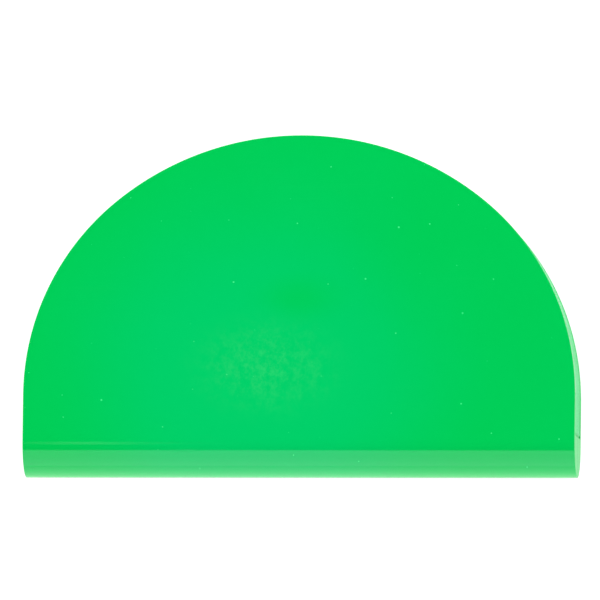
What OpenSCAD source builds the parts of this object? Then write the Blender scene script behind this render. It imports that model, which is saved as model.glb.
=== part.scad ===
// Pocket circle template set.
// A D-shaped case of two covers with a half-round spine along its straight edge holds six
// template leaves. Each leaf swings out of the open, curved side about a post in the left
// corner. The case lies on its back cover: X runs along the spine, Y from the spine to the
// crown, Z out of the front cover, and the origin is the centre of the case's footprint.

/* [Case] */
// Length of the case along its spine
case_length = 120; // [118:1:126]
// Depth of the case from the spine's outermost line to the crown
case_depth = 73.8; // [73.6:0.1:75]
// Thickness of the case, which is also the diameter of the half-round spine
case_thickness = 14.7; // [14.6:0.1:16]
// Radius of the outline's left and right arcs
side_radius = 54.4; // [53.5:0.1:54.8]
// Distance from the spine's outermost line to the centres of the side arcs
side_centre_depth = 17.4; // [17:0.1:17.8]
// Thickness of each cover
cover_thickness = 1.6; // [1.4:0.1:1.7]
// Depth of the solid spine, from its outermost line to the face that the leaves rest by
spine_depth = 9; // [8.5:0.1:10]

/* [Leaves] */
// Thickness of one template leaf
leaf_thickness = 1.5; // [1.2:0.1:1.5]
// How far the leaves' curved edge lies inside the covers' edge
leaf_inset = 0.1; // [0.1:0.1:0.6]
// Gap between the leaves' straight edge and the spine
leaf_spine_gap = 0.2; // [0.2:0.1:0.6]
// Radius of the leaves' free lower corner
leaf_corner_radius = 0.6; // [0.4:0.1:4]
// Web between neighbouring circles in a row
circle_web = 4; // [3:0.5:4]

/* [Pivot] */
// Diameter of the pivot post
post_diameter = 5; // [4:0.5:5]
// Distance of the post's axis from a leaf's left edge and from its straight edge
post_inset = 6; // [5.5:0.5:6.5]
// Radial clearance between the post and a leaf's bore
bore_clearance = 0.05; // [0.02:0.01:0.09]
// Diameter of the slip washers
washer_diameter = 9; // [8:0.5:10]
// Thickness of one slip washer
washer_thickness = 0.25; // [0.2:0.05:0.3]
// Thickness of the spring washer's metal
spring_metal = 0.3; // [0.2:0.05:0.4]

/* [Fasteners] */
// Diameter of the screws' shanks
screw_diameter = 2.4; // [2:0.1:2.6]
// Distance of the spine screws and dowels from the spine's outermost line
fastener_depth = 5; // [4.6:0.1:5.4]
// Distance between neighbouring spine screws
screw_pitch = 48; // [44:1:50]
// Diameter of the dowel pins
dowel_diameter = 2; // [1.5:0.1:2.4]

/* [Hidden] */
$fn = 96;

// Rows of circles on each leaf: [row's centre line above the spine's outermost line,
// row's middle in X, diameters from left to right]
LEAF_ROWS = [
    [[40.5, -17, [50]], [34, 31, [40]]],
    [[38, -22.5, [46]], [36, 26, [42]]],
    [[31, 0, [36, 32, 28]], [60, 0, [18, 16]]],
    [[25, 3.5, [26, 24, 22, 20]], [51, 0, [21, 19, 17]]],
    [[24, 3, [15, 14, 13, 12, 11]], [44, 0, [12.5, 11.5, 10.5, 9.5]], [61, 0, [10, 9]]],
    [[26, 3, [8.5, 8, 7.5, 7, 6.5, 6, 5.5]], [46, 0, [5, 4.5, 4, 3.5, 3, 2.5, 2, 1.5, 1]]]
];
LEAF_GREEN = [0.45, 0.9, 0.6];
CASE_GREEN = [0, 0.8, 0.35];

spine_y = -case_depth / 2;
half_length = case_length / 2;
half_thickness = case_thickness / 2;
cut_margin = 1;

// The outline is an arch of three tangent arcs on two short straight sides
side_centre_x = half_length - side_radius;
side_to_crown = case_depth - side_centre_depth;
crown_radius = (side_centre_x * side_centre_x + side_to_crown * side_to_crown
    - side_radius * side_radius) / (2 * (side_to_crown - side_radius));
crown_centre_depth = case_depth - crown_radius;
tangent_slope_x = 2 * crown_radius * side_centre_x / (crown_radius - side_radius);
tangent_slope_y = 2 * crown_radius * (side_centre_depth - crown_centre_depth)
    / (crown_radius - side_radius);

leaf_low_depth = spine_depth + leaf_spine_gap;
leaf_half_length = half_length - leaf_inset;
leaf_pitch = leaf_thickness + washer_thickness;
post_x = -leaf_half_length + post_inset;
post_depth = leaf_low_depth + post_inset;
post_y = spine_y + post_depth;
bore_radius = post_diameter / 2 + bore_clearance;
stack_top = cover_thickness + len(LEAF_ROWS) * leaf_pitch + washer_thickness;
post_top = case_thickness - cover_thickness;
spring_height = post_top - stack_top;

spigot_radius = 2;
spigot_length = 0.9;
spigot_flat = 1.4;
thread_clearance = 0.05;
thread_radius = screw_diameter / 2 + thread_clearance;
screw_hole_radius = thread_radius + thread_clearance;
head_clearance = 0.2;
spring_bore_gap = 0.1;
pivot_screw_length = 8;
pivot_head_radius = 2.3;
pivot_head_height = 1.1;
pivot_head_recess = 0.1;
post_thread_depth = 7.5;
spine_head_radius = 2.1;
spine_head_height = 1.5;
spine_head_seat = 3.4;
spine_screw_length = 8;
insert_radius = 1.9;
insert_length = 4.5;
insert_groove = 0.3;
insert_start = half_thickness + 0.1;
insert_hole_length = 5;
dowel_length = 8;
dowel_chamfer = 0.3;
recess_span = 2.6;
recess_width = 0.6;
recess_depth = 0.7;

// Region inside the outline, drawn in by inset, with everything under low cut away
module outline(inset, low) {
    intersection() {
        union() {
            for (side = [-1, 1])
                translate([side * side_centre_x, side_centre_depth])
                    circle(r = side_radius - inset);
            translate([0, crown_centre_depth])
                intersection() {
                    circle(r = crown_radius - inset);
                    polygon([
                        [0, 0],
                        [tangent_slope_x, tangent_slope_y],
                        [-tangent_slope_x, tangent_slope_y]
                    ]);
                }
            translate([inset - half_length, low])
                square([case_length - 2 * inset, side_centre_depth - low]);
        }
        translate([-half_length, low])
            square([case_length, case_depth - low]);
    }
}

// Section of the whole case across its spine: flat covers that end in a half circle
module pill_section() {
    translate([half_thickness, half_thickness])
        circle(r = half_thickness);
    translate([half_thickness, 0])
        square([case_depth, case_thickness]);
}

// Section of one cover: its sheet and the half of the spine that belongs to it
module cover_section() {
    intersection() {
        pill_section();
        union() {
            square([case_depth + cut_margin, cover_thickness]);
            square([spine_depth, half_thickness]);
        }
    }
}

// A cover lying on its outer face, before any hole
module cover_blank() {
    translate([0, spine_y, 0])
        intersection() {
            linear_extrude(case_thickness)
                outline(0, 0);
            translate([-half_length, 0, 0])
                rotate([90, 0, 90])
                    linear_extrude(case_length)
                        cover_section();
        }
}

module at_spine_screws() {
    for (i = [-1, 0, 1])
        translate([i * screw_pitch, spine_y + fastener_depth, 0])
            children();
}

module at_dowels() {
    for (side = [-1, 1])
        translate([side * screw_pitch / 2, spine_y + fastener_depth, 0])
            children();
}

// Cross-shaped driver recess, sunk into a screw head whose flat face is at z = 0
module driver_recess() {
    for (turn = [0, 90])
        rotate([0, 0, turn])
            translate([-recess_span / 2, -recess_width / 2, -recess_depth])
                cube([recess_span, recess_width, 2 * recess_depth]);
}

module front_cover() {
    color(CASE_GREEN)
        difference() {
            translate([0, 0, case_thickness])
                mirror([0, 0, 1])
                    cover_blank();
            at_spine_screws()
                translate([0, 0, half_thickness - cut_margin])
                    cylinder(r = insert_radius, h = insert_hole_length + cut_margin);
            at_dowels()
                translate([0, 0, half_thickness - cut_margin])
                    cylinder(d = dowel_diameter, h = dowel_length / 2 + cut_margin);
            translate([post_x, post_y, post_top - cut_margin])
                intersection() {
                    cylinder(r = spigot_radius, h = spigot_length + cut_margin);
                    translate([-spigot_radius, -spigot_radius, 0])
                        cube([spigot_radius + spigot_flat, 2 * spigot_radius,
                            spigot_length + cut_margin]);
                }
        }
}

module back_cover() {
    color(CASE_GREEN)
        difference() {
            cover_blank();
            at_spine_screws() {
                translate([0, 0, -cut_margin])
                    cylinder(r = screw_hole_radius, h = case_thickness);
                translate([0, 0, -cut_margin])
                    cylinder(
                        r = spine_head_radius + head_clearance,
                        h = spine_head_seat + cut_margin
                    );
            }
            at_dowels()
                translate([0, 0, half_thickness - dowel_length / 2])
                    cylinder(d = dowel_diameter, h = dowel_length);
            translate([post_x, post_y, -cut_margin])
                cylinder(r = screw_hole_radius, h = case_thickness);
            translate([post_x, post_y, pivot_head_recess])
                countersink(thread_clearance);
            translate([post_x, post_y, -cut_margin])
                cylinder(
                    r = pivot_head_radius + thread_clearance,
                    h = pivot_head_recess + cut_margin
                );
        }
}

// The cone of the pivot screw's head, widened all round by grow
module countersink(grow) {
    cylinder(
        r1 = pivot_head_radius + grow,
        r2 = screw_diameter / 2 + grow,
        h = pivot_head_height
    );
}

// Middle of circle number i in a row, measured from the row's left end
function row_place(diameters, i) =
    diameters[i] / 2 + (i == 0 ? 0 :
        row_place(diameters, i - 1) + diameters[i - 1] / 2 + circle_web);

function row_width(diameters) =
    row_place(diameters, len(diameters) - 1) + diameters[len(diameters) - 1] / 2;

module leaf_circles(rows) {
    for (row = rows)
        for (i = [0 : len(row[2]) - 1])
            translate([row[1] - row_width(row[2]) / 2 + row_place(row[2], i), row[0]])
                circle(d = row[2][i]);
}

// A leaf's flat shape: the outline with its left corner rounded about the post
module leaf_shape(rows) {
    difference() {
        union() {
            difference() {
                outline(leaf_inset, leaf_low_depth);
                translate([post_x - case_length, post_depth - case_depth])
                    square([case_length, case_depth]);
                translate([leaf_half_length - leaf_corner_radius, 0])
                    square([case_length, leaf_low_depth + leaf_corner_radius]);
            }
            translate([post_x, post_depth])
                circle(r = post_inset);
            translate([leaf_half_length - leaf_corner_radius,
                leaf_low_depth + leaf_corner_radius])
                circle(r = leaf_corner_radius);
        }
        translate([post_x, post_depth])
            circle(r = bore_radius);
        leaf_circles(rows);
    }
}

// Leaf number i, counted from the back cover
module template_leaf(i) {
    color(LEAF_GREEN)
        translate([0, spine_y, cover_thickness + i * leaf_pitch - leaf_thickness])
            linear_extrude(leaf_thickness)
                leaf_shape(LEAF_ROWS[i - 1]);
}

// Slip washer number i, counted from the back cover
module slip_washer(i) {
    color("white")
        translate([post_x, post_y, cover_thickness + (i - 1) * leaf_pitch])
            difference() {
                cylinder(d = washer_diameter, h = washer_thickness);
                translate([0, 0, -cut_margin])
                    cylinder(r = bore_radius, h = 2 * cut_margin + washer_thickness);
            }
}

// A shallow cone whose inner edge presses on the front cover
module spring_washer() {
    outer = washer_diameter / 2;
    inner = bore_radius + spring_bore_gap;
    color("silver")
        translate([post_x, post_y, stack_top])
            rotate_extrude()
                polygon([
                    [outer, 0],
                    [outer, spring_metal],
                    [inner, spring_height],
                    [inner, spring_height - spring_metal]
                ]);
}

module pivot_post() {
    color("gold")
        translate([post_x, post_y, 0])
            difference() {
                union() {
                    translate([0, 0, cover_thickness])
                        cylinder(d = post_diameter, h = post_top - cover_thickness);
                    translate([0, 0, post_top])
                        intersection() {
                            cylinder(r = spigot_radius, h = spigot_length);
                            translate([-spigot_radius, -spigot_radius, 0])
                                cube([spigot_radius + spigot_flat, 2 * spigot_radius,
                                    spigot_length]);
                        }
                }
                cylinder(r = thread_radius, h = cover_thickness + post_thread_depth);
            }
}

module pivot_screw() {
    color("silver")
        translate([post_x, post_y, pivot_head_recess])
            difference() {
                union() {
                    countersink(0);
                    cylinder(d = screw_diameter, h = pivot_screw_length);
                }
                driver_recess();
            }
}

module spine_screws() {
    color("silver")
        at_spine_screws()
            difference() {
                union() {
                    translate([0, 0, spine_head_seat - spine_head_height])
                        cylinder(r = spine_head_radius, h = spine_head_height);
                    translate([0, 0, spine_head_seat])
                        cylinder(d = screw_diameter, h = spine_screw_length);
                }
                translate([0, 0, spine_head_seat - spine_head_height])
                    driver_recess();
            }
}

// Brass inserts with a groove round the middle
module threaded_inserts() {
    groove_low = insert_length / 2 - insert_groove;
    groove_high = insert_length / 2 + insert_groove;
    color("gold")
        at_spine_screws()
            translate([0, 0, insert_start])
                rotate_extrude()
                    polygon([
                        [thread_radius, 0],
                        [insert_radius, 0],
                        [insert_radius, groove_low],
                        [insert_radius - insert_groove, groove_low],
                        [insert_radius - insert_groove, groove_high],
                        [insert_radius, groove_high],
                        [insert_radius, insert_length],
                        [thread_radius, insert_length]
                    ]);
}

module dowel_pins() {
    tip = dowel_diameter / 2 - dowel_chamfer;
    color("silver")
        at_dowels()
            translate([0, 0, half_thickness - dowel_length / 2])
                rotate_extrude()
                    polygon([
                        [0, 0],
                        [tip, 0],
                        [dowel_diameter / 2, dowel_chamfer],
                        [dowel_diameter / 2, dowel_length - dowel_chamfer],
                        [tip, dowel_length],
                        [0, dowel_length]
                    ]);
}

front_cover();
back_cover();
template_leaf(1);  // template_leaf_1
template_leaf(2);  // template_leaf_2
template_leaf(3);  // template_leaf_3
template_leaf(4);  // template_leaf_4
template_leaf(5);  // template_leaf_5
template_leaf(6);  // template_leaf_6
pivot_post();
pivot_screw();
spring_washer();
slip_washer(1);  // slip_washer_1
slip_washer(2);  // slip_washer_2
slip_washer(3);  // slip_washer_3
slip_washer(4);  // slip_washer_4
slip_washer(5);  // slip_washer_5
slip_washer(6);  // slip_washer_6
slip_washer(7);  // slip_washer_7
spine_screws();
threaded_inserts();
dowel_pins();
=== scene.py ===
"""Looks of a pocket circle template set: a D-shaped case of two glossy green covers, joined by
a half-round spine, that holds six swing-out leaves. Metres, in the frame of the CAD model: X along
the spine, Y from the spine to the crown, Z out of the front cover."""

from math import atan2, cos, pi, radians, sin

import bmesh
import bpy
from mathutils import Matrix, Vector
from mathutils.geometry import tessellate_polygon


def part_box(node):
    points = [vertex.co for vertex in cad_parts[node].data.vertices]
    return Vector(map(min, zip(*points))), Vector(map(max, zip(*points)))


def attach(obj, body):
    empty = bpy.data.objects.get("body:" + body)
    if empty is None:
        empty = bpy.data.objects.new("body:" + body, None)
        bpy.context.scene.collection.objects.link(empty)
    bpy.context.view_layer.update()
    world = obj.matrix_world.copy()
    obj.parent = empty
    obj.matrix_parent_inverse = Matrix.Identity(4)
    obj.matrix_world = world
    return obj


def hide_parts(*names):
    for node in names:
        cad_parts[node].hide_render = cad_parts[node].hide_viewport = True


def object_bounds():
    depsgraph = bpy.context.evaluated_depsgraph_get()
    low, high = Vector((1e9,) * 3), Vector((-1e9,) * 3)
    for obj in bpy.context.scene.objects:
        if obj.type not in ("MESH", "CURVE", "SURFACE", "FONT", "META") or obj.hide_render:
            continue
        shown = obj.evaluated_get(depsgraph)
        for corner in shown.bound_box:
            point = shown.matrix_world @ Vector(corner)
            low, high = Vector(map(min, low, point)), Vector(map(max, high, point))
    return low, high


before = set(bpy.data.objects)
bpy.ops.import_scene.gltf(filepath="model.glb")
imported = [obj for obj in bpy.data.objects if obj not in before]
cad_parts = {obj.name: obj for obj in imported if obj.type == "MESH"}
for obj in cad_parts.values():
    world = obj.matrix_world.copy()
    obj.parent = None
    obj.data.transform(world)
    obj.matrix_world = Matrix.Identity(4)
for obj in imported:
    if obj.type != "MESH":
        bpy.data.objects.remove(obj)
CAD_LOW, CAD_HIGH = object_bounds()

MM = 0.001

# Sizes that the frame gives
HALF_LENGTH = (CAD_HIGH.x - CAD_LOW.x) / 2
CASE_DEPTH = CAD_HIGH.y - CAD_LOW.y
THICKNESS = CAD_HIGH.z - CAD_LOW.z
NOSE_RADIUS = THICKNESS / 2
SPINE_Y = CAD_LOW.y
COVER_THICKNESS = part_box("slip_washer_1")[0].z
LEAVES = sorted(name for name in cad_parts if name.startswith("template_leaf_"))
LEAF_LOW, LEAF_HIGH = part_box(LEAVES[0])
LEAF_INSET = HALF_LENGTH - LEAF_HIGH.x
POST_CENTRE = (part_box("pivot_post")[0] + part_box("pivot_post")[1]) / 2
SCREWS_LOW, SCREWS_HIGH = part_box("spine_screws")
INSERTS_LOW, INSERTS_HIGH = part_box("threaded_inserts")
DOWELS_LOW, DOWELS_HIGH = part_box("dowel_pins")

# The outline: an arch of three tangent arcs on two short straight sides
SIDE_RADIUS = 54.4 * MM
SIDE_CENTRE_DEPTH = 17.4 * MM
SIDE_CENTRE_X = HALF_LENGTH - SIDE_RADIUS
SIDE_TO_CROWN = CASE_DEPTH - SIDE_CENTRE_DEPTH
CROWN_RADIUS = (SIDE_CENTRE_X**2 + SIDE_TO_CROWN**2 - SIDE_RADIUS**2) / (
    2 * (SIDE_TO_CROWN - SIDE_RADIUS)
)
CROWN_CENTRE_DEPTH = CASE_DEPTH - CROWN_RADIUS
TANGENT_ANGLE = atan2(SIDE_CENTRE_DEPTH - CROWN_CENTRE_DEPTH, SIDE_CENTRE_X)
SIDE_STEPS = 48
CROWN_STEPS = 56
NOSE_STEPS = 40

# Covers and their holes
SPINE_DEPTH = 9 * MM
COVER_ROUNDING = 0.15 * MM
FLAT_FACE_WEIGHT = 90
ROUNDED_EDGE_ANGLE = radians(35)
SHARP_EDGE_ANGLE = radians(40)
HEAD_CLEARANCE = 0.2 * MM
THREAD_CLEARANCE = 0.1 * MM
SCREW_RADIUS = 1.2 * MM
SCREW_HEAD_SEAT = 3.4 * MM
COUNTERSINK_RADIUS = 2.35 * MM
COUNTERSINK_RECESS = 0.1 * MM
COUNTERSINK_BOTTOM = 1.15 * MM
SPIGOT_RADIUS = 2 * MM
SPIGOT_FLAT = 1.4 * MM
SOCKET_STEPS = 40
CUT_MARGIN = 1 * MM

# Leaves: rows of circles, each as [row's line above the spine's outermost line, row's middle in X,
# diameters from left to right], in millimetres
LEAF_ROWS = [
    [[40.5, -17, [50]], [34, 31, [40]]],
    [[38, -22.5, [46]], [36, 26, [42]]],
    [[31, 0, [36, 32, 28]], [60, 0, [18, 16]]],
    [[25, 3.5, [26, 24, 22, 20]], [51, 0, [21, 19, 17]]],
    [[24, 3, [15, 14, 13, 12, 11]], [44, 0, [12.5, 11.5, 10.5, 9.5]], [61, 0, [10, 9]]],
    [[26, 3, [8.5, 8, 7.5, 7, 6.5, 6, 5.5]], [46, 0, [5, 4.5, 4, 3.5, 3, 2.5, 2, 1.5, 1]]],
]
CIRCLE_WEB = 4 * MM
LEAF_CORNER = 0.6 * MM
LEAF_ROUNDING = 0.12 * MM
LEAF_CORNER_STEPS = 14
POST_CORNER_STEPS = 28
POST_INSET = POST_CENTRE.x - LEAF_LOW.x
BORE_RADIUS = 2.55 * MM

# Printing on the leaves
INK_BELOW = 0.005 * MM
INK_ABOVE = 0.015 * MM
TICK_GAP = 0.25 * MM
TICK_LENGTH = 1.2 * MM
TICK_WIDTH = 0.2 * MM
NUMBER_HEIGHT = 1.7 * MM
NUMBER_GAP = 1.9 * MM
FONT_SIZE_PER_HEIGHT = 1.35
FONT_STEPS = 3
PRINT_WELD = 1e-7
RULE_LEAVES = (5, 6)
RULE_LENGTH_MM = 100
RULE_START = -48 * MM
RULE_TICK_MM = 1.0
RULE_FIVE_EXTRA_MM = 0.5
RULE_TEN_EXTRA_MM = 0.6
RULE_TICK_WIDTH = 0.14 * MM
RULE_NUMBER_HEIGHT = 1.5 * MM
RULE_NUMBER_DEPTH = 4.2 * MM

# Soft edges on the CAD fasteners, washers and post
HARDWARE_ROUNDING = 0.06 * MM
WASHER_ROUNDING = 0.03 * MM
HARDWARE_WELD = 0.001 * MM

# Looks: colours are linear, and a centre and its reach are in X and Y on the covers
PLASTIC_IOR = 1.49
WEAR_SAMPLES = 4
WEAR_STARTS = 0.98
WEAR_FULL = 0.75
COVER_DEEP = (0.0, 0.556, 0.083, 1)
# Paler, bluer green of a painted glow: a soft reflection painted over the middle of the covers
COVER_PAINTED_GLOW = (0.0, 0.568, 0.128, 1)
# Lighter green of worn edges, hair scratches and the rubbed haze; on the haze it is also a painted
# glow
COVER_WEAR_AND_GLOW = (0.03, 0.62, 0.16, 1)
COVER_SHEEN = (0.6, 0.8, 1.0, 1)
# Where the painted glow sits on the covers and how far it reaches
PAINTED_GLOW_CENTRE = (-10 * MM, -12 * MM)
PAINTED_GLOW_REACH = (62 * MM, 52 * MM)
# A rubbed haze patch on the covers; its lighter colour is also a painted glow of soft light
HAZE_GLOW_CENTRE = (-7 * MM, -13.5 * MM)
HAZE_GLOW_REACH = (22 * MM, 14 * MM)
# A dimmer spot cut into the painted glow: painted shade
DIM_SPOT_CENTRE = (-1 * MM, 1 * MM)
DIM_SPOT_REACH = (15 * MM, 8 * MM)
# Bright green of the dust specks: a painted glint on each speck, brighter than the plastic under it
DUST_GLINT = (0.06, 0.95, 0.31, 1)
LEAF_DEEP = (0.13, 0.84, 0.28, 1)
LEAF_LIGHT = (0.20, 0.90, 0.38, 1)
LEAF_WORN = (0.55, 0.95, 0.66, 1)
NYLON = (0.80, 0.80, 0.74, 1)
NYLON_CLOUDY = (0.70, 0.70, 0.63, 1)
STEEL = (0.56, 0.57, 0.58, 1)
SPRING_STEEL = (0.42, 0.40, 0.37, 1)
BRASS = (0.72, 0.50, 0.20, 1)
TARNISH_SHADE = 0.72
WORN_METAL_SHADE = 1.35
TARNISH_ROUGHENING = 0.2
INK = (0.012, 0.014, 0.014, 1)
INK_THIN = (0.03, 0.045, 0.035, 1)
WHITE = (1, 1, 1, 1)
FLOOR = (0.35, 0.35, 0.35, 1)
FLOOR_GLOW = 0.88
FLOOR_FRONT_GLOW = 1.35
FRONT_GLOW_GAP = 1 * MM
FRONT_GLOW_REACH = 15 * MM

# Camera and light: the lens and the sensor are in millimetres, lengths are in metres
CAMERA_DIRECTION = Vector((0.106, -0.106, 0.989)).normalized()
CAMERA_TARGET = Vector((0.08 * MM, 1.0 * MM, THICKNESS))
CAMERA_LENS = 1150
CAMERA_SENSOR = 36
CAMERA_DISTANCE = 4.144
CAMERA_CLIP_END = 50
FLOOR_RADIUS = 9
FLOOR_STEPS = 96
FRONT_TILT = radians(58.4)
UPWARDS = (0, 0, 1)
TO_CROWN = (0, 1, 0)

# Each light: name, direction from the object, distance, width, height, brightness, and the way
# its height runs
LIGHTS = [
    ("front_softbox", (0, -sin(FRONT_TILT), cos(FRONT_TILT)), 1.5, 1.4, 1.73, 1.7, UPWARDS),
    ("right_softbox", (1, 0.25, 0.55), 1.6, 2.2, 1.4, 0.95, UPWARDS),
    ("back_softbox", (-0.1, 1, 1.05), 1.5, 5.0, 1.4, 1.95, UPWARDS),
    ("left_softbox", (-1, 0.2, 0.85), 1.6, 1.2, 1.0, 1.2, UPWARDS),
    ("ceiling_strip", (-0.116, -0.064, 0.588), 0.6, 0.014, 0.09, 1.6, TO_CROWN),
]

# The room round the object: how strongly it shines low down and overhead, and the heights, as
# shares of straight up, between which the one turns into the other
ROOM_LOW_STRENGTH = 0.55
ROOM_TOP_STRENGTH = 0.02
ROOM_LOW_END = 0.1
ROOM_TOP_START = 0.85


# ---------------------------------------------------------------- outlines and meshes


def arc(centre_x, centre_y, radius, start, end, steps):
    """Points along an arc, both ends included."""
    angles = [start + (end - start) * i / steps for i in range(steps + 1)]
    return [(centre_x + radius * cos(a), centre_y + radius * sin(a)) for a in angles]


def arch(inset):
    """The curved side, drawn in by inset, from its right foot over the crown to its left foot."""
    foot = SPINE_Y + SIDE_CENTRE_DEPTH
    side = SIDE_RADIUS - inset
    right = arc(SIDE_CENTRE_X, foot, side, 0, TANGENT_ANGLE, SIDE_STEPS)
    crown = arc(
        0, SPINE_Y + CROWN_CENTRE_DEPTH, CROWN_RADIUS - inset,
        TANGENT_ANGLE, pi - TANGENT_ANGLE, CROWN_STEPS,
    )
    left = arc(-SIDE_CENTRE_X, foot, side, pi - TANGENT_ANGLE, pi, SIDE_STEPS)
    return right + crown[1:-1] + left


def leaf_outline(inset):
    """A leaf's edge, drawn in by inset, anticlockwise from its corner about the post."""
    corner_y = LEAF_LOW.y + LEAF_CORNER
    about_post = arc(
        POST_CENTRE.x, POST_CENTRE.y, POST_INSET - inset, pi, 1.5 * pi, POST_CORNER_STEPS
    )
    free = arc(
        LEAF_HIGH.x - LEAF_CORNER, corner_y, LEAF_CORNER - inset,
        1.5 * pi, 2 * pi, LEAF_CORNER_STEPS,
    )
    return about_post + free + arch(LEAF_INSET + inset)


def hole_outline(x, y, radius, inset):
    """A round hole's edge, widened by inset, with more steps round a larger hole."""
    steps = 8 * round(5 + radius / (2.5 * MM))
    return arc(x, y, radius + inset, 0, 2 * pi * (1 - 1 / steps), steps - 1)


def circle_places(rows):
    """(x, y, radius) of each circle in a leaf's rows."""
    places = []
    for depth, middle, diameters in rows:
        sizes = [d * MM for d in diameters]
        x = middle * MM - (sum(sizes) + CIRCLE_WEB * (len(sizes) - 1)) / 2
        for size in sizes:
            places.append((x + size / 2, SPINE_Y + depth * MM, size / 2))
            x += size + CIRCLE_WEB
    return places


def rounded_levels(low, high, rounding):
    """(inset, height) from the lower face of a plate to its upper one, over rounded edges."""
    steps = 3
    turn = [0.5 * pi * i / steps for i in range(steps + 1)]
    lower = [(rounding * (1 - sin(a)), low + rounding * (1 - cos(a))) for a in turn]
    upper = [(rounding * (1 - cos(a)), high - rounding * (1 - sin(a))) for a in turn]
    return lower + upper


def add_object(name, data):
    """A new object with this data, in the scene."""
    made = bpy.data.objects.new(name, data)
    bpy.context.scene.collection.objects.link(made)
    return made


def smooth_faces(mesh):
    mesh.polygons.foreach_set("use_smooth", [True] * len(mesh.polygons))


def new_piece(name, build, smooth=True):
    """An object whose mesh build() makes in an empty bmesh."""
    work = bmesh.new()
    build(work)
    bmesh.ops.recalc_face_normals(work, faces=work.faces)
    mesh = bpy.data.meshes.new(name)
    work.to_mesh(mesh)
    work.free()
    if smooth:
        smooth_faces(mesh)
    return add_object(name, mesh)


def strip(work, first, second, closed):
    """Quads between two rows of vertices of the same length."""
    count = len(first) if closed else len(first) - 1
    for i in range(count):
        j = (i + 1) % len(first)
        work.faces.new((first[i], first[j], second[j], second[i]))


def plate(work, edges, low, high, rounding):
    """A flat plate. Each edge is a function of the inset; the first one is the outside."""
    levels = rounded_levels(low, high, rounding)
    rings = [
        [[work.verts.new((x, y, z)) for x, y in edge(inset)] for inset, z in levels]
        for edge in edges
    ]
    for ring in rings:
        for lower, upper in zip(ring, ring[1:]):
            strip(work, lower, upper, closed=True)
    for level in (0, -1):
        loops = [ring[level] for ring in rings]
        flat = [vertex for loop in loops for vertex in loop]
        outlines = [[vertex.co.copy() for vertex in loop] for loop in loops]
        for corners in tessellate_polygon(outlines):
            work.faces.new([flat[i] for i in corners])


def lathe(work, x, y, profile, steps=48):
    """A closed solid of revolution about an upright axis, from (radius, height) points."""
    rings = []
    for radius, z in profile:
        if radius == 0:
            rings.append([work.verts.new((x, y, z))] * steps)
        else:
            around = arc(x, y, radius, 0, 2 * pi * (1 - 1 / steps), steps - 1)
            rings.append([work.verts.new((px, py, z)) for px, py in around])
    for lower, upper in zip(rings, rings[1:] + rings[:1]):
        for i in range(steps):
            j = (i + 1) % steps
            corners = list(dict.fromkeys((lower[i], lower[j], upper[j], upper[i])))
            if len(corners) > 2:
                work.faces.new(corners)


def cylinder(work, x, y, radius, low, high):
    """An upright cylinder from the height low to the height high."""
    lathe(work, x, y, [(0, low), (radius, low), (radius, high), (0, high)])


def settle_modifiers(piece):
    """Gives the piece the mesh that its modifiers make, and removes them."""
    graph = bpy.context.evaluated_depsgraph_get()
    piece.data = bpy.data.meshes.new_from_object(piece.evaluated_get(graph))
    piece.modifiers.clear()


def round_edges(piece, width, segments=3):
    """Adds a bevel of this width to the piece's clear edges."""
    bevel = piece.modifiers.new("rounding", "BEVEL")
    bevel.limit_method = "ANGLE"
    bevel.angle_limit = ROUNDED_EDGE_ANGLE
    bevel.width = width
    bevel.segments = segments
    bevel.miter_outer = "MITER_ARC"


def flatten_shading(piece):
    """Keeps flat faces flat where they meet rounded edges."""
    weighted = piece.modifiers.new("flat_faces", "WEIGHTED_NORMAL")
    weighted.keep_sharp = True
    weighted.weight = FLAT_FACE_WEIGHT


# ---------------------------------------------------------------- nodes and materials


def feed(tree, receiver, inputs):
    """Links each input that is given as a socket, and sets every other one to its value."""
    for name, value in inputs.items():
        if isinstance(value, bpy.types.NodeSocket):
            tree.links.new(value, receiver.inputs[name])
        else:
            receiver.inputs[name].default_value = value


def node(tree, kind, inputs=None, **settings):
    """A new node with these inputs and settings."""
    made = tree.nodes.new(kind)
    for name, value in settings.items():
        setattr(made, name, value)
    feed(tree, made, inputs or {})
    return made


def maths(tree, operation, first, second=0.0):
    return node(tree, "ShaderNodeMath", {0: first, 1: second}, operation=operation).outputs[0]


def mix_colour(tree, factor, first, second):
    """first where the factor is 0, second where it is 1."""
    inputs = {0: factor, 6: first, 7: second}
    return node(tree, "ShaderNodeMix", inputs, data_type="RGBA").outputs[2]


def overlay(tree, colour, mask, strength, other):
    """The colour, turned by the share strength into the other one where the mask is 1."""
    return mix_colour(tree, maths(tree, "MULTIPLY", mask, strength), colour, other)


def largest_of(tree, *values):
    """The largest of two or more values."""
    largest = values[0]
    for value in values[1:]:
        largest = maths(tree, "MAXIMUM", largest, value)
    return largest


def span(tree, value, low, high, to_low=0.0, to_high=1.0):
    """value between low and high, turned smoothly into to_low to to_high."""
    inputs = {0: value, 1: low, 2: high, 3: to_low, 4: to_high}
    kind = "ShaderNodeMapRange"
    return node(tree, kind, inputs, interpolation_type="SMOOTHSTEP").outputs[0]


def stretched(tree, place, scale, turn=0.0, shift=(0, 0, 0)):
    """The place, scaled in X, Y and Z, turned about Z and shifted."""
    inputs = {"Vector": place, "Location": shift, "Rotation": (0, 0, turn), "Scale": scale}
    return node(tree, "ShaderNodeMapping", inputs).outputs[0]


def noise(tree, place, scale, detail=2.0, roughness=0.5):
    inputs = {"Vector": place, "Scale": scale, "Detail": detail, "Roughness": roughness}
    return node(tree, "ShaderNodeTexNoise", inputs).outputs[0]


def bump(tree, height, depth, before=None):
    """Bumps of a height from 0 to 1 that stand depth metres proud."""
    inputs = {"Height": height, "Distance": depth, "Strength": 1.0}
    if before is not None:
        inputs["Normal"] = before
    return node(tree, "ShaderNodeBump", inputs).outputs[0]


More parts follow.
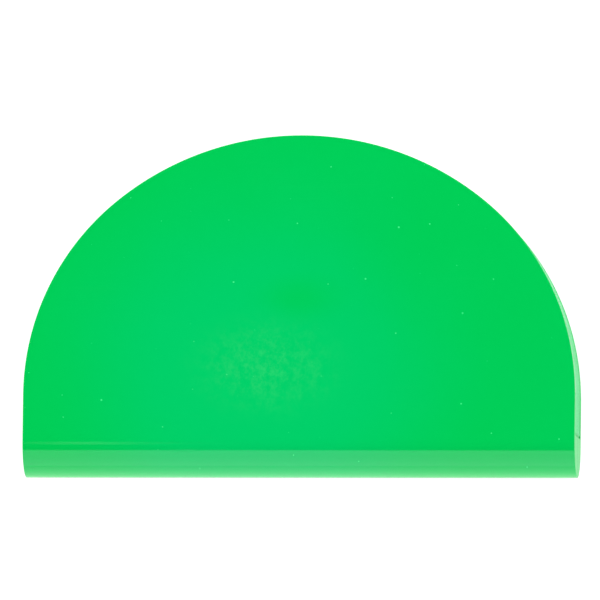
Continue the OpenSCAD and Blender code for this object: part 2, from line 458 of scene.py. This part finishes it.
def fine_lines(tree, place, turn, across, along, width):
    """Thin straight lines in one direction: the narrow crossings of a stretched noise."""
    streaks = noise(tree, stretched(tree, place, (along, across, across), turn), 1.0, 3.0)
    off_centre = maths(tree, "ABSOLUTE", maths(tree, "SUBTRACT", streaks, 0.5))
    return span(tree, off_centre, 0.0, width, 1.0, 0.0)


def edge_wear(tree, radius):
    """1 along outer and inner edges, 0 on open faces."""
    rounded = node(tree, "ShaderNodeBevel", {"Radius": radius}, samples=WEAR_SAMPLES).outputs[0]
    true = node(tree, "ShaderNodeNewGeometry").outputs["Normal"]
    dot = node(tree, "ShaderNodeVectorMath", {0: rounded, 1: true}, operation="DOT_PRODUCT")
    return span(tree, dot.outputs["Value"], WEAR_STARTS, WEAR_FULL)


def faces_by_level(tree, low, high):
    """How level a face is (0 upright, 1 flat), turned from low to high smoothly into 0 to 1."""
    normal = node(tree, "ShaderNodeNewGeometry").outputs["Normal"]
    tilt = node(tree, "ShaderNodeSeparateXYZ", {0: normal}).outputs["Z"]
    return span(tree, maths(tree, "ABSOLUTE", tilt), low, high)


def within(tree, place, centre, reach):
    """1 at a centre (x, y), falling to 0 at reach from it in X and in Y."""
    offset = (-centre[0] / reach[0], -centre[1] / reach[1], 0)
    scaled = stretched(tree, place, (1 / reach[0], 1 / reach[1], 0), 0.0, offset)
    far = node(tree, "ShaderNodeVectorMath", {0: scaled}, operation="LENGTH").outputs["Value"]
    return span(tree, far, 1.0, 0.0)


def new_material(name):
    """(material, node tree, shader, the place of a point in its object's own frame)."""
    material = bpy.data.materials.new(name)
    material.use_nodes = True
    tree = material.node_tree
    place = node(tree, "ShaderNodeTexCoord").outputs["Object"]
    return material, tree, tree.nodes["Principled BSDF"], place


def finish_shader(tree, shader, **inputs):
    """Feeds the shader's inputs, whose names are given with _ for each space."""
    feed(tree, shader, {name.replace("_", " "): value for name, value in inputs.items()})


def dust_specks(tree, place, cells, largest):
    """Specks of dust on level faces: one in each cell, of very different sizes; the covers paint
    them bright green as painted glints.
    """
    inputs = {"Vector": place, "Scale": cells}
    speck = node(tree, "ShaderNodeTexVoronoi", inputs, voronoi_dimensions="2D")
    size = node(tree, "ShaderNodeSeparateColor", {0: speck.outputs["Color"]}).outputs[0]
    radius = maths(tree, "MULTIPLY", maths(tree, "POWER", size, 3.0), largest * cells)
    spots = maths(tree, "LESS_THAN", speck.outputs["Distance"], radius)
    return maths(tree, "MULTIPLY", spots, faces_by_level(tree, low=0.5, high=0.8))


def cover_plastic():
    """Glossy moulded green: soft mottling, a painted glow over the middle with a dimmer painted
    spot in it, a rubbed haze whose lighter colour is also a painted glow, hair scratches, dust
    specks painted with bright glints, and worn edges.
    """
    material, tree, shader, place = new_material("cover_plastic")
    mottle = maths(tree, "MULTIPLY", noise(tree, place, scale=26.0, detail=4.0), 0.5)
    # pale is a painted glow: the middle of the covers is painted paler as a soft reflection, with
    # random mottling added
    pale = maths(tree, "ADD", within(tree, place, PAINTED_GLOW_CENTRE, PAINTED_GLOW_REACH), mottle)
    # clear is painted shade: a dimmer spot taken out of the painted glow
    clear = maths(tree, "MULTIPLY", within(tree, place, DIM_SPOT_CENTRE, DIM_SPOT_REACH), 0.5)
    pale = maths(tree, "SUBTRACT", pale, clear)
    colour = mix_colour(tree, span(tree, pale, 0.15, 1.1), COVER_DEEP, COVER_PAINTED_GLOW)
    rubbed = stretched(tree, place, scale=(1.2, 1, 1), turn=0.3)
    smear = noise(tree, rubbed, scale=520.0, detail=7.0, roughness=0.8)
    # A rubbed haze that dulls the gloss, lightened in colour as a painted glow
    glow_patch = within(tree, place, HAZE_GLOW_CENTRE, HAZE_GLOW_REACH)
    haze_and_glow = maths(tree, "MULTIPLY", glow_patch, span(tree, smear, 0.38, 0.74))
    colour = overlay(tree, colour, mask=haze_and_glow, strength=0.7, other=COVER_WEAR_AND_GLOW)
    scratches = largest_of(
        tree,
        fine_lines(tree, place, turn=0.6, across=900.0, along=9.0, width=0.006),
        fine_lines(tree, place, turn=-0.95, across=1100.0, along=14.0, width=0.005),
    )
    patchy = span(tree, noise(tree, place, scale=60.0), 0.5, 0.66)
    scratches = maths(tree, "MULTIPLY", scratches, patchy)
    colour = overlay(tree, colour, mask=scratches, strength=0.06, other=COVER_WEAR_AND_GLOW)
    worn = edge_wear(tree, radius=0.35 * MM)
    colour = overlay(tree, colour, mask=worn, strength=0.35, other=COVER_WEAR_AND_GLOW)
    # Dust specks that bump and dull the surface; their bright green colour is a painted glint
    dust_and_glint = dust_specks(tree, place, cells=140.0, largest=0.21 * MM)
    colour = overlay(tree, colour, mask=dust_and_glint, strength=0.65, other=DUST_GLINT)
    dull = largest_of(tree, haze_and_glow, maths(tree, "MULTIPLY", scratches, 0.6))
    dull = largest_of(tree, maths(tree, "MULTIPLY", dull, 0.6), worn, dust_and_glint)
    milled = maths(tree, "MULTIPLY", faces_by_level(tree, low=0.02, high=0.0), 0.3)
    glossy = span(tree, dull, 0.0, 1.0, to_low=0.10, to_high=0.34)
    ripple = bump(tree, noise(tree, place, scale=330.0), depth=0.004 * MM)
    grooved = maths(tree, "SUBTRACT", 1.0, scratches)
    surface = bump(tree, grooved, depth=0.002 * MM, before=ripple)
    surface = bump(tree, dust_and_glint, depth=0.02 * MM, before=surface)
    finish_shader(
        tree, shader,
        Base_Color=colour, Roughness=largest_of(tree, glossy, milled), IOR=PLASTIC_IOR,
        Specular_Tint=COVER_SHEEN, Normal=surface,
        Specular_IOR_Level=span(tree, milled, 0.0, 0.3, to_low=0.5, to_high=0.1),
    )
    return material


def leaf_plastic():
    """Tinted see-through sheet: a little cloudy, with sliding marks round the post."""
    material, tree, shader, place = new_material("leaf_plastic")
    cloud = span(tree, noise(tree, place, scale=35.0, detail=3.0), 0.35, 0.65)
    colour = mix_colour(tree, cloud, LEAF_DEEP, LEAF_LIGHT)
    worn = edge_wear(tree, radius=0.2 * MM)
    colour = overlay(tree, colour, mask=worn, strength=0.4, other=LEAF_WORN)
    about_post = node(
        tree, "ShaderNodeVectorMath", {0: place, 1: POST_CENTRE}, operation="SUBTRACT"
    ).outputs[0]
    flat = node(tree, "ShaderNodeVectorMath", {0: about_post, 1: (1, 1, 0)}, operation="MULTIPLY")
    swept = node(tree, "ShaderNodeVectorMath", {0: flat.outputs[0]}, operation="LENGTH")
    ring_place = maths(tree, "MULTIPLY", swept.outputs["Value"], 1500.0)
    rings = span(tree, noise(tree, ring_place, scale=1.0, detail=3.0), 0.60, 0.72)
    patchy = span(tree, noise(tree, place, scale=70.0), 0.42, 0.62)
    rubbed = maths(tree, "MULTIPLY", rings, patchy)
    surface = bump(tree, noise(tree, place, scale=260.0), depth=0.003 * MM)
    grooved = maths(tree, "SUBTRACT", 1.0, rubbed)
    surface = bump(tree, grooved, depth=0.0015 * MM, before=surface)
    milled = faces_by_level(tree, low=0.3, high=0.05)
    sawn = maths(tree, "MULTIPLY", milled, 0.6)
    dull = largest_of(tree, rubbed, worn)
    glossy = span(tree, dull, 0.0, 1.0, to_low=0.12, to_high=0.38)
    finish_shader(
        tree, shader,
        Base_Color=colour, Roughness=largest_of(tree, glossy, sawn), IOR=PLASTIC_IOR,
        Transmission_Weight=0.30, Normal=surface,
        Specular_IOR_Level=span(tree, milled, 0.0, 1.0, to_low=0.5, to_high=0.15),
    )
    return material


def nylon():
    """Milky washer plastic with a fine grain."""
    material, tree, shader, place = new_material("washer_plastic")
    cloud = span(tree, noise(tree, place, scale=700.0, detail=3.0), 0.3, 0.7)
    grain = noise(tree, place, scale=6000.0, detail=3.0)
    finish_shader(
        tree, shader,
        Base_Color=mix_colour(tree, cloud, NYLON_CLOUDY, NYLON),
        Roughness=span(tree, grain, 0.3, 0.7, to_low=0.38, to_high=0.55),
        Normal=bump(tree, grain, depth=0.004 * MM),
    )
    return material


def shaded(colour, shade):
    """The colour, made darker or brighter by a factor."""
    return tuple(min(1.0, shade * c) for c in colour[:3]) + (1,)


def metal(name, colour, roughness):
    """Turned metal: fine rings of tool marks, brighter worn edges, tarnish in patches."""
    material, tree, shader, place = new_material(name)
    tarnish = span(tree, noise(tree, place, scale=900.0, detail=4.0), 0.4, 0.75)
    base = mix_colour(tree, tarnish, colour, shaded(colour, TARNISH_SHADE))
    worn = edge_wear(tree, radius=0.08 * MM)
    base = mix_colour(tree, worn, base, shaded(colour, WORN_METAL_SHADE))
    ring_place = stretched(tree, place, scale=(400, 400, 14000))
    marks = noise(tree, ring_place, scale=1.0, detail=3.0)
    dullest = roughness + TARNISH_ROUGHENING
    finish_shader(
        tree, shader,
        Base_Color=base, Metallic=1.0,
        Roughness=span(tree, tarnish, 0.0, 1.0, to_low=roughness, to_high=dullest),
        Normal=bump(tree, marks, depth=0.002 * MM),
    )
    return material


def print_ink():
    """Screen-printed black, a little uneven."""
    material, tree, shader, place = new_material("print_ink")
    thin = span(tree, noise(tree, place, scale=2500.0, detail=3.0), 0.3, 0.8)
    finish_shader(
        tree, shader,
        Base_Color=mix_colour(tree, thin, INK, INK_THIN),
        Roughness=span(tree, thin, 0.0, 1.0, to_low=0.45, to_high=0.7),
        Normal=bump(tree, thin, depth=0.003 * MM), Specular_IOR_Level=0.15,
    )
    return material


def floor_white():
    """Plain pale studio floor that glows, more so in front of the spine, so that it stays white."""
    material, tree, shader, place = new_material("floor_white")
    ahead = node(tree, "ShaderNodeSeparateXYZ", {0: place}).outputs["Y"]
    near = SPINE_Y - FRONT_GLOW_GAP
    far = near - FRONT_GLOW_REACH
    glow = span(tree, ahead, near, far, to_low=FLOOR_GLOW, to_high=FLOOR_FRONT_GLOW)
    finish_shader(
        tree, shader,
        Base_Color=FLOOR, Roughness=0.9, Specular_IOR_Level=0.0,
        Emission_Color=WHITE, Emission_Strength=glow,
    )
    return material


# ---------------------------------------------------------------- covers


def cover_blank(work, lift):
    """One cover before its holes. lift turns a height above its outer face into z."""
    nose = arc(NOSE_RADIUS, NOSE_RADIUS, NOSE_RADIUS, pi, 1.5 * pi, NOSE_STEPS)
    section = nose + [
        (SIDE_CENTRE_DEPTH, 0),
        (SIDE_CENTRE_DEPTH, COVER_THICKNESS),
        (SPINE_DEPTH, COVER_THICKNESS),
        (SPINE_DEPTH, NOSE_RADIUS),
    ]
    left, right = (
        [work.verts.new((side * HALF_LENGTH, SPINE_Y + s, lift(h))) for s, h in section]
        for side in (-1, 1)
    )
    foot, inner_foot, inner_corner, parting = range(len(nose), len(section))
    nose_end = foot - 1
    work.faces.new(left)
    work.faces.new(right)
    strip(work, left[: nose_end + 1], right[: nose_end + 1], closed=False)
    work.faces.new((left[0], right[0], right[parting], left[parting]))
    work.faces.new((left[inner_corner], right[inner_corner], right[parting], left[parting]))
    inner_points = arch(0)[1:-1]
    outer = [work.verts.new((x, y, lift(0))) for x, y in inner_points]
    inner = [work.verts.new((x, y, lift(COVER_THICKNESS))) for x, y in inner_points]
    outer = [right[foot], *outer, left[foot]]
    inner = [right[inner_foot], *inner, left[inner_foot]]
    strip(work, outer, inner, closed=False)
    work.faces.new([left[nose_end], right[nose_end], *outer])
    work.faces.new([left[inner_corner], right[inner_corner], *inner])


def screw_places():
    """(x, y) of each spine screw."""
    reach = SCREWS_HIGH.x - (SCREWS_HIGH.y - SCREWS_LOW.y) / 2
    return [(x, (SCREWS_LOW.y + SCREWS_HIGH.y) / 2) for x in (-reach, 0, reach)]


def dowel_places():
    """(x, y) of each dowel pin."""
    radius = (DOWELS_HIGH.y - DOWELS_LOW.y) / 2
    return [(side * (DOWELS_HIGH.x - radius), DOWELS_LOW.y + radius) for side in (-1, 1)]


def cut_dowel_holes(work):
    for x, y in dowel_places():
        cylinder(work, x, y, (DOWELS_HIGH.y - DOWELS_LOW.y) / 2, DOWELS_LOW.z, DOWELS_HIGH.z)


def back_cuts(work):
    """Counterbores and holes for the spine screws, dowel holes, the pivot screw's countersink."""
    head = (SCREWS_HIGH.y - SCREWS_LOW.y) / 2 + HEAD_CLEARANCE
    shank = SCREW_RADIUS + THREAD_CLEARANCE
    for x, y in screw_places():
        lathe(work, x, y, [
            (0, -CUT_MARGIN),
            (head, -CUT_MARGIN),
            (head, SCREW_HEAD_SEAT),
            (shank, SCREW_HEAD_SEAT),
            (shank, NOSE_RADIUS + CUT_MARGIN),
            (0, NOSE_RADIUS + CUT_MARGIN),
        ])
    cut_dowel_holes(work)
    lathe(work, POST_CENTRE.x, POST_CENTRE.y, [
        (0, -CUT_MARGIN),
        (COUNTERSINK_RADIUS, -CUT_MARGIN),
        (COUNTERSINK_RADIUS, COUNTERSINK_RECESS),
        (shank, COUNTERSINK_BOTTOM),
        (shank, COVER_THICKNESS + CUT_MARGIN),
        (0, COVER_THICKNESS + CUT_MARGIN),
    ])


def front_cuts(work):
    """Holes for the threaded inserts and the dowels, and the socket of the post's spigot."""
    for x, y in screw_places():
        radius = (INSERTS_HIGH.y - INSERTS_LOW.y) / 2
        cylinder(work, x, y, radius, NOSE_RADIUS - CUT_MARGIN, INSERTS_HIGH.z)
    cut_dowel_holes(work)
    flat_turn = SPIGOT_FLAT / SPIGOT_RADIUS
    half_angle = atan2((1 - flat_turn**2) ** 0.5, flat_turn)
    socket = arc(
        POST_CENTRE.x, POST_CENTRE.y, SPIGOT_RADIUS,
        half_angle, 2 * pi - half_angle, SOCKET_STEPS,
    )
    low = [work.verts.new((x, y, THICKNESS - COVER_THICKNESS - CUT_MARGIN)) for x, y in socket]
    high = [work.verts.new((x, y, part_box("pivot_post")[1].z)) for x, y in socket]
    strip(work, low, high, closed=True)
    work.faces.new(low)
    work.faces.new(high)


def make_cover(name, node_name, lift, cuts, material):
    """A cover with rounded edges and its holes, in place of its CAD node."""
    cover = new_piece(name, lambda work: cover_blank(work, lift))
    round_edges(cover, COVER_ROUNDING)
    settle_modifiers(cover)
    cutter = new_piece(name + "_cutter", cuts, smooth=False)
    hole = cover.modifiers.new("holes", "BOOLEAN")
    hole.object = cutter
    hole.operation = "DIFFERENCE"
    hole.solver = "EXACT"
    settle_modifiers(cover)
    bpy.data.objects.remove(cutter)
    cover.data.materials.clear()
    cover.data.materials.append(material)
    smooth_faces(cover.data)
    cover.data.set_sharp_from_angle(angle=SHARP_EDGE_ANGLE)
    flatten_shading(cover)
    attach(cover, "case")
    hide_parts(node_name)


# ---------------------------------------------------------------- leaves


def make_leaf(number, rows, material):
    """A leaf pierced by its circles and by the bore for the post, in place of its CAD node."""
    cad_name = f"template_leaf_{number}"
    low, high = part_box(cad_name)
    holes = circle_places(rows) + [(POST_CENTRE.x, POST_CENTRE.y, BORE_RADIUS)]
    edges = [leaf_outline] + [
        lambda inset, hole=hole: hole_outline(*hole, inset) for hole in holes
    ]
    leaf = new_piece(
        f"leaf_sheet_{number}", lambda work: plate(work, edges, low.z, high.z, LEAF_ROUNDING)
    )
    leaf.data.materials.append(material)
    flatten_shading(leaf)
    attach(leaf, f"leaf_{number}")
    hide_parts(cad_name)


def ink_bar(work, x, y, z, width, length):
    """A thin flat bar of print with slightly soft ends."""
    soft = min(width, length) / 4
    outline = [
        (x - width / 2 + soft, y - length / 2), (x + width / 2 - soft, y - length / 2),
        (x + width / 2, y - length / 2 + soft), (x + width / 2, y + length / 2 - soft),
        (x + width / 2 - soft, y + length / 2), (x - width / 2 + soft, y + length / 2),
        (x - width / 2, y + length / 2 - soft), (x - width / 2, y - length / 2 + soft),
    ]
    low = [work.verts.new((px, py, z - INK_BELOW)) for px, py in outline]
    high = [work.verts.new((px, py, z + INK_ABOVE)) for px, py in outline]
    strip(work, low, high, closed=True)
    work.faces.new(low)
    work.faces.new(high)


def ink_number(work, text, x, y, z, height):
    """A printed number, centred on (x, y)."""
    curve = bpy.data.curves.new("number", "FONT")
    curve.body = text
    curve.size = height * FONT_SIZE_PER_HEIGHT
    curve.align_x = "CENTER"
    curve.align_y = "CENTER"
    curve.resolution_u = FONT_STEPS
    curve.extrude = (INK_BELOW + INK_ABOVE) / 2
    holder = add_object("number", curve)
    bpy.context.view_layer.update()
    graph = bpy.context.evaluated_depsgraph_get()
    mesh = bpy.data.meshes.new_from_object(holder.evaluated_get(graph))
    mesh.transform(Matrix.Translation((x, y, z + (INK_ABOVE - INK_BELOW) / 2)))
    work.from_mesh(mesh)
    bpy.data.objects.remove(holder)
    bpy.data.curves.remove(curve)
    bpy.data.meshes.remove(mesh)


def circle_marks(work, x, y, radius, z):
    """Four centring ticks round a circle, and its diameter beside it."""
    reach = radius + TICK_GAP + TICK_LENGTH / 2
    for side in (-1, 1):
        ink_bar(work, x + side * reach, y, z, TICK_LENGTH, TICK_WIDTH)
        ink_bar(work, x, y + side * reach, z, TICK_WIDTH, TICK_LENGTH)
    aside = (radius + NUMBER_GAP) * cos(pi / 4)
    text = f"{2 * radius / MM:.3g}"
    ink_number(work, text, x + aside, y - aside, z, NUMBER_HEIGHT)


def millimetre_rule(work, z):
    """A rule along the leaf's straight edge, numbered every ten millimetres."""
    number_y = LEAF_LOW.y + RULE_NUMBER_DEPTH
    for step in range(RULE_LENGTH_MM + 1):
        five_extra = RULE_FIVE_EXTRA_MM * (step % 5 == 0)
        ten_extra = RULE_TEN_EXTRA_MM * (step % 10 == 0)
        length = (RULE_TICK_MM + five_extra + ten_extra) * MM
        x = RULE_START + step * MM
        y = LEAF_LOW.y + LEAF_ROUNDING + length / 2
        ink_bar(work, x, y, z, RULE_TICK_WIDTH, length)
        if step % 10 == 0:
            ink_number(work, str(step), x, number_y, z, RULE_NUMBER_HEIGHT)


def make_marks(number, rows, material):
    """The printing on a leaf's upper face."""
    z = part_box(f"template_leaf_{number}")[1].z

    def build(work):
        for x, y, radius in circle_places(rows):
            circle_marks(work, x, y, radius, z)
        if number in RULE_LEAVES:
            millimetre_rule(work, z)
        bmesh.ops.remove_doubles(work, verts=work.verts, dist=PRINT_WELD)

    marks = new_piece(f"leaf_marks_{number}", build, smooth=False)
    marks.data.materials.append(material)
    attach(marks, f"leaf_{number}")


# ---------------------------------------------------------------- hardware


def dress_hardware(materials):
    """Gives the CAD fasteners, washers and post soft edges and their own materials."""
    finishes = {
        "pivot_post": "brass",
        "pivot_screw": "steel",
        "spring_washer": "spring_steel",
        "spine_screws": "steel",
        "threaded_inserts": "brass",
        "dowel_pins": "steel",
    }
    for name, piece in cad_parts.items():
        if name.startswith("slip_washer"):
            finish, width = "nylon", WASHER_ROUNDING
        elif name in finishes:
            finish, width = finishes[name], HARDWARE_ROUNDING
        else:
            continue
        if not piece.material_slots:
            piece.data.materials.append(None)
        for material_slot in piece.material_slots:
            material_slot.link = "OBJECT"
            material_slot.material = materials[finish]
        weld = piece.modifiers.new("weld", "WELD")
        weld.merge_threshold = HARDWARE_WELD
        round_edges(piece, width, segments=2)
        flatten_shading(piece)


# ---------------------------------------------------------------- studio


def aim(item, towards_back, up_hint):
    """Turns an object so that it looks against towards_back with up_hint upwards."""
    back = towards_back.normalized()
    right = up_hint.cross(back).normalized()
    up = back.cross(right)
    item.rotation_mode = "QUATERNION"
    item.rotation_quaternion = Matrix((right, up, back)).transposed().to_quaternion()


def make_camera():
    """A long lens almost square to the front cover, level with the spine."""
    data = bpy.data.cameras.new("camera")
    data.lens = CAMERA_LENS
    data.sensor_width = CAMERA_SENSOR
    data.clip_end = CAMERA_CLIP_END
    camera = add_object("camera", data)
    camera.location = CAMERA_TARGET + CAMERA_DIRECTION * CAMERA_DISTANCE
    level = Vector((1, 0, 0))
    aim(camera, CAMERA_DIRECTION, CAMERA_DIRECTION.cross(level))
    bpy.context.scene.camera = camera


def soft_light(name, direction, distance, width, height, brightness, up):
    """A softbox that faces the object from a direction, with its height towards up."""
    data = bpy.data.lights.new(name, "AREA")
    data.shape = "RECTANGLE"
    data.size = width
    data.size_y = height
    data.energy = brightness * pi * width * height
    light = add_object(name, data)
    back = Vector(direction).normalized()
    light.location = Vector((0, 0, THICKNESS)) + back * distance
    aim(light, back, Vector(up))
    light.visible_camera = False


def make_world():
    """A pale room that darkens towards the ceiling."""
    world = bpy.data.worlds.new("room")
    bpy.context.scene.world = world
    world.use_nodes = True
    tree = world.node_tree
    sky = node(tree, "ShaderNodeTexCoord").outputs["Generated"]
    height = node(tree, "ShaderNodeSeparateXYZ", {0: sky}).outputs["Z"]
    strength = span(
        tree, height, ROOM_LOW_END, ROOM_TOP_START,
        to_low=ROOM_LOW_STRENGTH, to_high=ROOM_TOP_STRENGTH,
    )
    feed(tree, tree.nodes["Background"], {"Color": WHITE, "Strength": strength})


def make_floor():
    """A round floor at the height of the case's back."""
    def build(work):
        bmesh.ops.create_circle(work, cap_ends=True, segments=FLOOR_STEPS, radius=FLOOR_RADIUS)

    floor = new_piece("floor", build, smooth=False)
    floor.data.materials.append(floor_white())


# ---------------------------------------------------------------- the whole scene

bpy.context.scene.view_settings.view_transform = "Standard"
make_camera()
for light_settings in LIGHTS:
    soft_light(*light_settings)
make_world()
make_floor()

green = cover_plastic()
make_cover("front_shell", "front_cover", lambda h: THICKNESS - h, front_cuts, green)
make_cover("back_shell", "back_cover", lambda h: h, back_cuts, green)

tinted = leaf_plastic()
ink = print_ink()
for leaf_number, leaf_rows in enumerate(LEAF_ROWS, start=1):
    make_leaf(leaf_number, leaf_rows, tinted)
    make_marks(leaf_number, leaf_rows, ink)

dress_hardware({
    "brass": metal("brass", BRASS, 0.22),
    "steel": metal("steel", STEEL, 0.24),
    "spring_steel": metal("spring_steel", SPRING_STEEL, 0.3),
    "nylon": nylon(),
})
